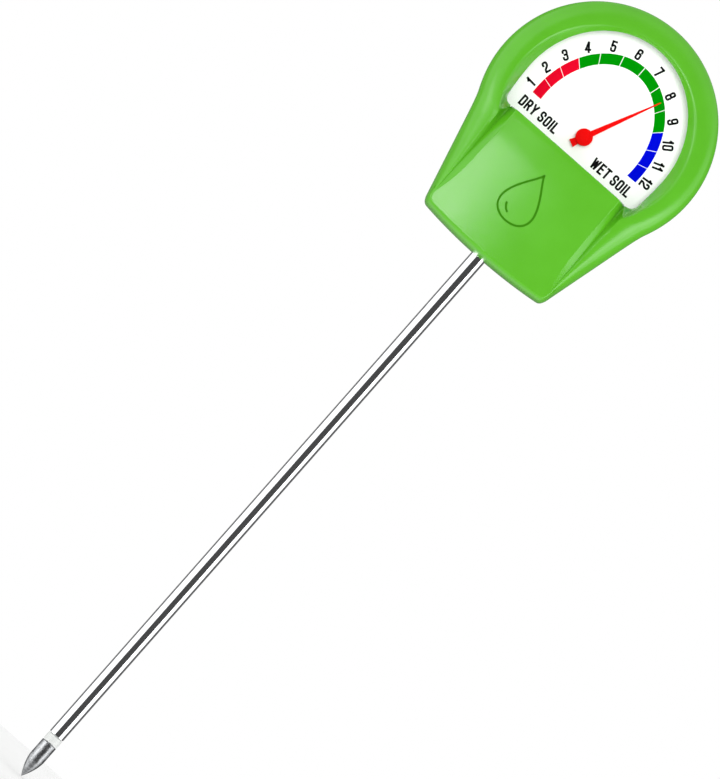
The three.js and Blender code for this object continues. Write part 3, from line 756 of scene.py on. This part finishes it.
def slab_between(outer, inner, z0, z1):
    """Closed strip between two lines of points, from height z0 to z1."""
    rows = [
        [place(*p, z0) for p in inner],
        [place(*p, z0) for p in outer],
        [place(*p, z1) for p in outer],
        [place(*p, z1) for p in inner],
        [place(*p, z0) for p in inner],
    ]
    points, faces = patch(rows)
    last = len(inner)
    faces.append(tuple(row * last for row in range(4)))
    faces.append(tuple(row * last + last - 1 for row in reversed(range(4))))
    return points, faces


def scale_zone(colour, divisions):
    """One coloured zone of the scale, with a clear gap between its divisions."""
    steps, clear_deg = 10, 0.22
    span = 180 / DIVISIONS
    strips = []
    for k in divisions:
        first = -90 + k * span + (clear_deg if k > 0 else 0)
        last = -90 + (k + 1) * span - (clear_deg if k < DIVISIONS - 1 else 0)
        angles = [first + (last - first) * step / steps for step in range(steps + 1)]
        outer = [on_scale(SCALE_OUTER, a) for a in angles]
        inner = [on_scale(SCALE_INNER, a) for a in angles]
        strips.append(slab_between(outer, inner, DIAL_FRONT, DIAL_FRONT + PRINT))
    zone = new_object(f"scale_{colour}", strips)
    bm = bmesh.new()
    bm.from_mesh(zone.data)
    bmesh.ops.recalc_face_normals(bm, faces=bm.faces)
    bm.to_mesh(zone.data)
    bm.free()
    return finish_piece(zone, "body", "dial_print", material=PRINTS[colour])


# Letters and figures as strokes, each in a box from -1 to 1 across and 0 to 1 up. A stroke that ends
# where it starts is a closed loop, and its corners are rounded like those of any other stroke.
LOOP = [(-1, 0), (1, 0), (1, 1), (-1, 1), (-1, 0)]
STROKES = {
    "0": [LOOP],
    "1": [[(0.2, 0), (0.2, 1)], [(0.2, 0.96), (-0.5, 0.76)]],
    "2": [[(-1, 0.72), (-1, 1), (1, 1), (1, 0.6), (-1, 0.24), (-1, 0)], [(-1, 0), (1, 0)]],
    "3": [[(-1, 0.78), (-1, 1), (1, 1), (1, 0.53), (-0.2, 0.53)],
          [(-0.2, 0.53), (1, 0.53), (1, 0), (-1, 0), (-1, 0.22)]],
    "4": [[(0.5, 0), (0.5, 1)], [(0.3, 1), (-1, 0.26)], [(-1, 0.24), (1.2, 0.24)]],
    "5": [[(0.9, 1), (-0.9, 1)], [(-0.9, 1), (-0.9, 0.5)],
          [(-0.9, 0.6), (1, 0.6), (1, 0), (-1, 0), (-1, 0.22)]],
    "6": [[(-1, 0), (1, 0), (1, 0.58), (-1, 0.58), (-1, 0)], [(-1, 0.3), (-1, 1), (1, 1), (1, 0.8)]],
    "7": [[(-1, 1), (1, 1)], [(1, 1), (-0.3, 0)]],
    "8": [[(-1, 0), (1, 0), (1, 0.53), (-1, 0.53), (-1, 0)],
          [(-0.92, 0.53), (0.92, 0.53), (0.92, 1), (-0.92, 1), (-0.92, 0.53)]],
    "D": [[(-1, 0), (-1, 1)], [(-1, 0), (1, 0), (1, 1), (-1, 1)]],
    "E": [[(-1, 0), (-1, 1)], [(-1, 0), (0.8, 0)], [(-1, 0.52), (0.6, 0.52)], [(-1, 1), (0.8, 1)]],
    "I": [[(0, 0), (0, 1)]],
    "L": [[(-1, 0), (-1, 1)], [(-1, 0), (0.8, 0)]],
    "O": [LOOP],
    "R": [[(-1, 0), (-1, 1)], [(-1, 0.48), (1, 0.48), (1, 1), (-1, 1)], [(0.3, 0.48), (1, 0)]],
    "S": [[(1, 0.78), (1, 1), (-1, 1), (-1, 0.56), (1, 0.44), (1, 0), (-1, 0), (-1, 0.22)]],
    "T": [[(-1, 1), (1, 1)], [(0, 0), (0, 1)]],
    "W": [[(-1.5, 1), (-0.8, 0)], [(-0.8, 0), (0, 0.85)], [(0, 0.85), (0.8, 0)], [(0.8, 0), (1.5, 1)]],
    "Y": [[(-1.1, 1), (0, 0.42)], [(1.1, 1), (0, 0.42)], [(0, 0), (0, 0.42)]],
}
STROKES["9"] = [[(-x, 1 - y) for x, y in stroke] for stroke in STROKES["6"]]
STROKE_WIDTH = 0.62
CAP_HEIGHT = 3.35
LETTER_HALF = 0.56
LETTER_ROUND = 0.45
LETTER_GAP = 0.32
WORD_GAP = 0.8


def rounded(path, radius, closed):
    """The path with its corners rounded off."""
    found = []
    for k, corner in enumerate(path):
        if not closed and k in (0, len(path) - 1):
            found.append(corner)
            continue
        back, on = path[k - 1] - corner, path[(k + 1) % len(path)] - corner
        reach = min(radius, back.length / 2, on.length / 2)
        found += bend(corner + back.normalized() * reach, corner, corner + on.normalized() * reach, 5)
    return found


def both_sides(path, width, closed):
    """Left and right edge of a line of even width along a path."""
    left, right = [], []
    for k, here in enumerate(path):
        after = path[(k + 1) % len(path)] if closed or k < len(path) - 1 else 2 * here - path[k - 1]
        before = path[k - 1] if closed or k > 0 else 2 * here - after
        into, out = (here - before).normalized(), (after - here).normalized()
        normal = point(-into.y, into.x)
        bisector = (normal + point(-out.y, out.x)).normalized()
        reach = bisector * (width / 2 / max(0.4, bisector.dot(normal)))
        left.append(here + reach)
        right.append(here - reach)
    return left, right


def pen_stroke(points):
    """Flat stroke in millimetres, with square ends that reach half its width further."""
    path = [point(x * LETTER_HALF, y * (CAP_HEIGHT - STROKE_WIDTH)) for x, y in points]
    closed = points[0] == points[-1]
    if closed:
        path = path[:-1]
    else:
        path[0] += (path[0] - path[1]).normalized() * (STROKE_WIDTH / 2)
        path[-1] += (path[-1] - path[-2]).normalized() * (STROKE_WIDTH / 2)
    left, right = both_sides(rounded(path, LETTER_ROUND, closed), STROKE_WIDTH, closed)
    return patch([right, left], closed)


def lettering(text):
    """Shapes of a short text in millimetres, centred on the origin."""
    shapes, at = [], 0.0
    for letter in text:
        if letter == " ":
            at += WORD_GAP
            continue
        strokes = STROKES[letter]
        xs = [x * LETTER_HALF for stroke in strokes for x, _ in stroke]
        shift = point(at - min(xs) + STROKE_WIDTH / 2, -(CAP_HEIGHT - STROKE_WIDTH) / 2)
        for points, faces in map(pen_stroke, strokes):
            shapes.append(([p + shift for p in points], faces))
        at += max(xs) - min(xs) + STROKE_WIDTH + LETTER_GAP
    middle = point((at - LETTER_GAP) / 2, 0)
    return [([p - middle for p in points], faces) for points, faces in shapes]


def printed(text, x, y, turn_deg=0):
    """Lettering set on the dial, turned clockwise."""
    turn = Matrix.Rotation(-math.radians(turn_deg), 2)
    shapes = []
    for points, faces in lettering(text):
        shapes.append(([place(*(turn @ p + point(x, y)), DIAL_FRONT + PRINT) for p in points], faces))
    return shapes


def dial_print():
    """Everything that is printed on the dial."""
    pieces = [scale_zone(colour, divisions) for colour, divisions in ZONES.items()]
    numbers = []
    for k in range(1, DIVISIONS + 1):
        angle = NUMBER_STEP * (k - (DIVISIONS + 1) / 2)
        at = on_scale(NUMBER_LINE, angle)
        numbers += printed(str(k), at.x, at.y, angle)
    legends = printed("DRY SOIL", -14, LEGEND_LINE) + printed("WET SOIL", 13.5, LEGEND_LINE)
    for name, shapes in (("dial_numbers", numbers), ("dial_legends", legends)):
        obj = new_object(name, shapes)
        pieces.append(finish_piece(obj, "body", "dial_print", material=PRINTS["black"]))
    return pieces


# ---- Mark on the panel --------------------------------------------------------------------------

MARK_WIDTH = 0.62
MARK_RAISE = 0.04


def ribbon(path, closed):
    """Thin raised line along a path over the panel."""
    left, right = both_sides(path, MARK_WIDTH, closed)
    rows = []
    for edge, lift in ((left, -0.1), (left, MARK_RAISE), (right, MARK_RAISE), (right, -0.1)):
        rows.append([place(p.x, p.y, panel_height(p.x, p.y) + lift) for p in edge])
    return patch(rows, closed)


def droplet():
    """Water droplet in outline, with a short glint inside it, its lines in painted shade: a darker green
    standing in for an engraved groove.
    """
    centre, half_height, half_width, steps = point(-1.2, -29.8), 8.4, 8.05, 72
    outline = []
    for k in range(steps):
        turn = 2 * math.pi * (k + 0.5) / steps
        x = half_width * math.sin(turn) * math.sin(turn / 2) ** 1.5
        outline.append(centre + point(x, half_height * math.cos(turn)))
    glint = arc(3.3, 3.3, 195, 250, 12, (centre.x, centre.y - 3.2))
    painted_groove_shade = new_object("panel_droplet", [ribbon(outline, True), ribbon(glint, False)])
    finish_piece(painted_groove_shade, "body", "green_plastic", material=PRINTS["painted_groove_shade"])


# ---- Needle -------------------------------------------------------------------------------------


def needle():
    """Tapering blade, round hub and short flared tail, at the reading where the CAD needle rests."""
    hub_radius, blade_z, hub_z = 2.55, (4.1, 4.5), (3.6, 5)
    rest_deg = -math.degrees(frame_rest_angle())
    turn = Matrix.Rotation(math.radians(rest_deg), 2)

    def to_head(x, y, z):
        p = turn @ point(x, y)
        return place(p.x, PIVOT_Y + p.y, z)

    blade_line = [(-0.9, 0), (0.9, 0), (0.14, 24.1), (-0.14, 24.1)]
    tail_line = [(-1.25, -4.1), (1.25, -4.1), (1.0, -2.4), (1.0, 0), (-1.0, 0), (-1.0, -2.4)]
    shapes = []
    for outline in (blade_line, tail_line):
        shapes.append(loft([[to_head(x, y, z) for x, y in outline] for z in blade_z]))
    low, high = hub_z
    hub = [(0, low), (hub_radius, low), (hub_radius, high - 0.25), (hub_radius - 0.08, high - 0.08),
           (hub_radius - 0.25, high), (0, high)]
    body = new_object("needle", [turned(hub, 64, to_head)])
    for name, shape in zip(("blade", "tail"), shapes):
        cut(body, new_object(name, [shape]), "UNION")
    bore = [(0, low - 1), (0.7, low - 1), (0.7, 4.6), (0, 4.6)]
    cut(body, new_object("bore", [turned(bore, 32, to_head)]))
    return finish_piece(body, "needle", "needle_red", ["needle_pointer"])


def frame_rest_angle():
    """Angle of the needle at rest, clockwise from straight up, from the far end of its CAD node."""
    return math.atan2(needle_high.x, needle_high.z - HEAD_CENTRE_Z - PIVOT_Y)


# ---- Probe --------------------------------------------------------------------------------------


def probe():
    """Tube, insulating ring and cast point, each turned about the z axis."""
    radius, inner = PROBE_RADIUS, PROBE_RADIUS - 0.45
    edge = 0.08
    tube = [
        (inner, tube_low.z), (radius - edge, tube_low.z), (radius, tube_low.z + edge),
        (radius, tube_high.z - edge), (radius - edge, tube_high.z), (inner, tube_high.z), (inner, tube_low.z),
    ]
    finish_piece(new_object("probe_tube_bright", [turned(tube, 160)]), "body", "stainless",
                 ["probe_tube"])

    ring_top = tube_low.z - 0.3
    spigot, bore = inner - 0.2, 1.35
    ring = [
        (bore, ring_low.z), (radius - edge, ring_low.z), (radius, ring_low.z + edge),
        (radius, ring_top - edge), (radius - edge, ring_top), (spigot, ring_top),
        (spigot, ring_high.z), (bore, ring_high.z), (bore, ring_low.z),
    ]
    finish_piece(new_object("insulating_ring_fine", [turned(ring, 96)]), "body", "white_plastic",
                 ["insulating_ring"])

    tip_length, stem, steps = ring_low.z - 0.3, 1.1, 24
    nose = []
    for step in range(steps + 1):
        along = step / steps
        nose.append((radius * (1 - (1 - along) ** 1.7), along * NOSE_LENGTH))
    nose += [
        (radius, tip_length - edge), (radius - edge, tip_length), (stem, tip_length),
        (stem, tip_high.z), (0, tip_high.z),
    ]
    finish_piece(new_object("probe_tip_cast", [turned(nose, 96)]), "body", "cast_tip",
                 ["probe_tip"])


# ---- Studio -------------------------------------------------------------------------------------

VIEW_CENTRE = Vector((-0.00036, 0, 0.1475))
VIEW_LONG_SIDE = 0.2235
CAMERA_DISTANCE = 3
CAMERA_ROLL_DEG = 41.4
SENSOR = 36


def studio_camera():
    """Level camera straight in front of the dial, rolled so that the probe runs down to the left."""
    data = bpy.data.cameras.new("camera")
    data.sensor_width = SENSOR
    data.lens = SENSOR * CAMERA_DISTANCE / VIEW_LONG_SIDE
    data.clip_start, data.clip_end = 0.05, 20
    camera = bpy.data.objects.new("camera", data)
    bpy.context.scene.collection.objects.link(camera)
    level = Matrix.Rotation(math.radians(90), 4, "X")
    roll = Matrix.Rotation(math.radians(CAMERA_ROLL_DEG), 4, "Z")
    camera.matrix_world = Matrix.Translation(VIEW_CENTRE - Vector((0, CAMERA_DISTANCE, 0))) @ level @ roll
    bpy.context.scene.camera = camera


# Brightness that a mirror sees around the object, by azimuth in degrees from the camera's side.
STUDIO_RING = [
    (-180, 0.2), (-111, 0.2), (-106, 1.5), (-29, 1.5), (-25, 0.07), (57, 0.07), (61, 1.5), (97, 1.5),
    (102, 0.11), (180, 0.16),
]
PLAIN_LEVEL = 1.0


def studio_world():
    """White surround; mirrors also see a dark card in front and darker corners behind."""
    world = bpy.data.worlds.new("studio")
    bpy.context.scene.world = world
    world.use_nodes = True
    tree = world.node_tree
    add = node_maker(tree)
    direction = add("ShaderNodeSeparateXYZ", Vector=add("ShaderNodeTexCoord").outputs["Generated"])
    ahead = add("ShaderNodeMath", {"operation": "MULTIPLY"})
    tree.links.new(direction.outputs["Y"], ahead.inputs[0])
    ahead.inputs[1].default_value = -1
    azimuth = add("ShaderNodeMath", {"operation": "ARCTAN2"})
    tree.links.new(direction.outputs["X"], azimuth.inputs[0])
    tree.links.new(ahead.outputs["Value"], azimuth.inputs[1])
    turn = add("ShaderNodeMapRange", Value=azimuth.outputs["Value"], From_Min=-math.pi, From_Max=math.pi)
    stops = [((deg + 180) / 360, (level,) * 3) for deg, level in STUDIO_RING]
    ring = ramp(add, turn.outputs["Result"], stops)
    height = add("ShaderNodeMath", {"operation": "ABSOLUTE"})
    tree.links.new(direction.outputs["Z"], height.inputs[0])
    above = add("ShaderNodeMapRange", Value=height.outputs["Value"], From_Min=0.45, From_Max=0.75)
    mirror = add("ShaderNodeMix", {"data_type": "RGBA"}, Factor=above.outputs["Result"])
    tree.links.new(ring, mirror.inputs["A"])
    mirror.inputs["B"].default_value = (0.9, 0.9, 0.9, 1)
    rays = add("ShaderNodeLightPath")
    seen = add("ShaderNodeMix", {"data_type": "RGBA"}, Factor=rays.outputs["Is Glossy Ray"])
    seen.inputs["A"].default_value = (PLAIN_LEVEL,) * 3 + (1,)
    tree.links.new(mirror.outputs["Result"], seen.inputs["B"])
    tree.links.new(seen.outputs["Result"], tree.nodes["Background"].inputs["Color"])


def soft_light(name, at, target, size, watts, only=()):
    """Round lamp that points at a target; only limits it to the pieces given."""
    data = bpy.data.lights.new(name, "AREA")
    data.shape = "DISK"
    data.size = size
    data.energy = watts
    light = bpy.data.objects.new(name, data)
    light.location = at
    light.rotation_euler = (Vector(target) - Vector(at)).to_track_quat("-Z", "Y").to_euler()
    bpy.context.scene.collection.objects.link(light)
    if only:
        lit = bpy.data.collections.new(name + "_lights")
        for piece in only:
            lit.objects.link(piece)
        light.light_linking.receiver_collection = lit
    return light


def studio_lights(cover, dial_pieces):
    """Lamps to the sides, two that only light the front cover, and one for the dial."""
    head = (0, 0, HEAD_CENTRE_Z * MM)
    soft_light("left_softbox", (-0.9, -0.6, -0.15), head, 0.6, 2.2)
    soft_light("right_softbox", (0.9, -0.5, 0.0), head, 0.5, 1.5)
    soft_light("right_sheen", (1.0, -0.35, -0.2), head, 1.2, 4.0, [cover])
    panel = place(-14, -35, PANEL_FRONT)
    soft_light("panel_glint", panel + Vector((-0.19, -1.0, -0.15)), panel, 0.19, 1.8, [cover])
    fill = soft_light("dial_fill", (0.1, -1.2, 0.5), head, 0.5, 8.0, dial_pieces)
    fill.visible_glossy = False


def floor():
    """Small pale floor under the point of the probe."""
    rows = [[Vector((radius * math.cos(a), radius * math.sin(a), 0))
             for a in (2 * math.pi * k / 96 for k in range(96))] for radius in (0, 0.16)]
    disc = new_object("floor", [patch(rows, closed=True)])
    disc.location.z = -0.0002
    disc.visible_glossy = False
    disc.data.materials.append(surface("floor", (0.97, 0.97, 0.97), 0.8, mottle=0.01, patch_mm=60,
                                       grain_mm=2, grain=0.02))


# ---- Build --------------------------------------------------------------------------------------

studio_camera()
studio_world()
floor()
bpy.context.scene.view_settings.view_transform = "Standard"

dress_cad_nodes()
cover = front_cover()
dial_surround()
rear_cover()
seam_lip()
housing_screws()
dial_pieces = [frame["nodes"]["dial_plate"], *dial_print(), needle()]
droplet()
probe()
studio_lights(cover, dial_pieces)
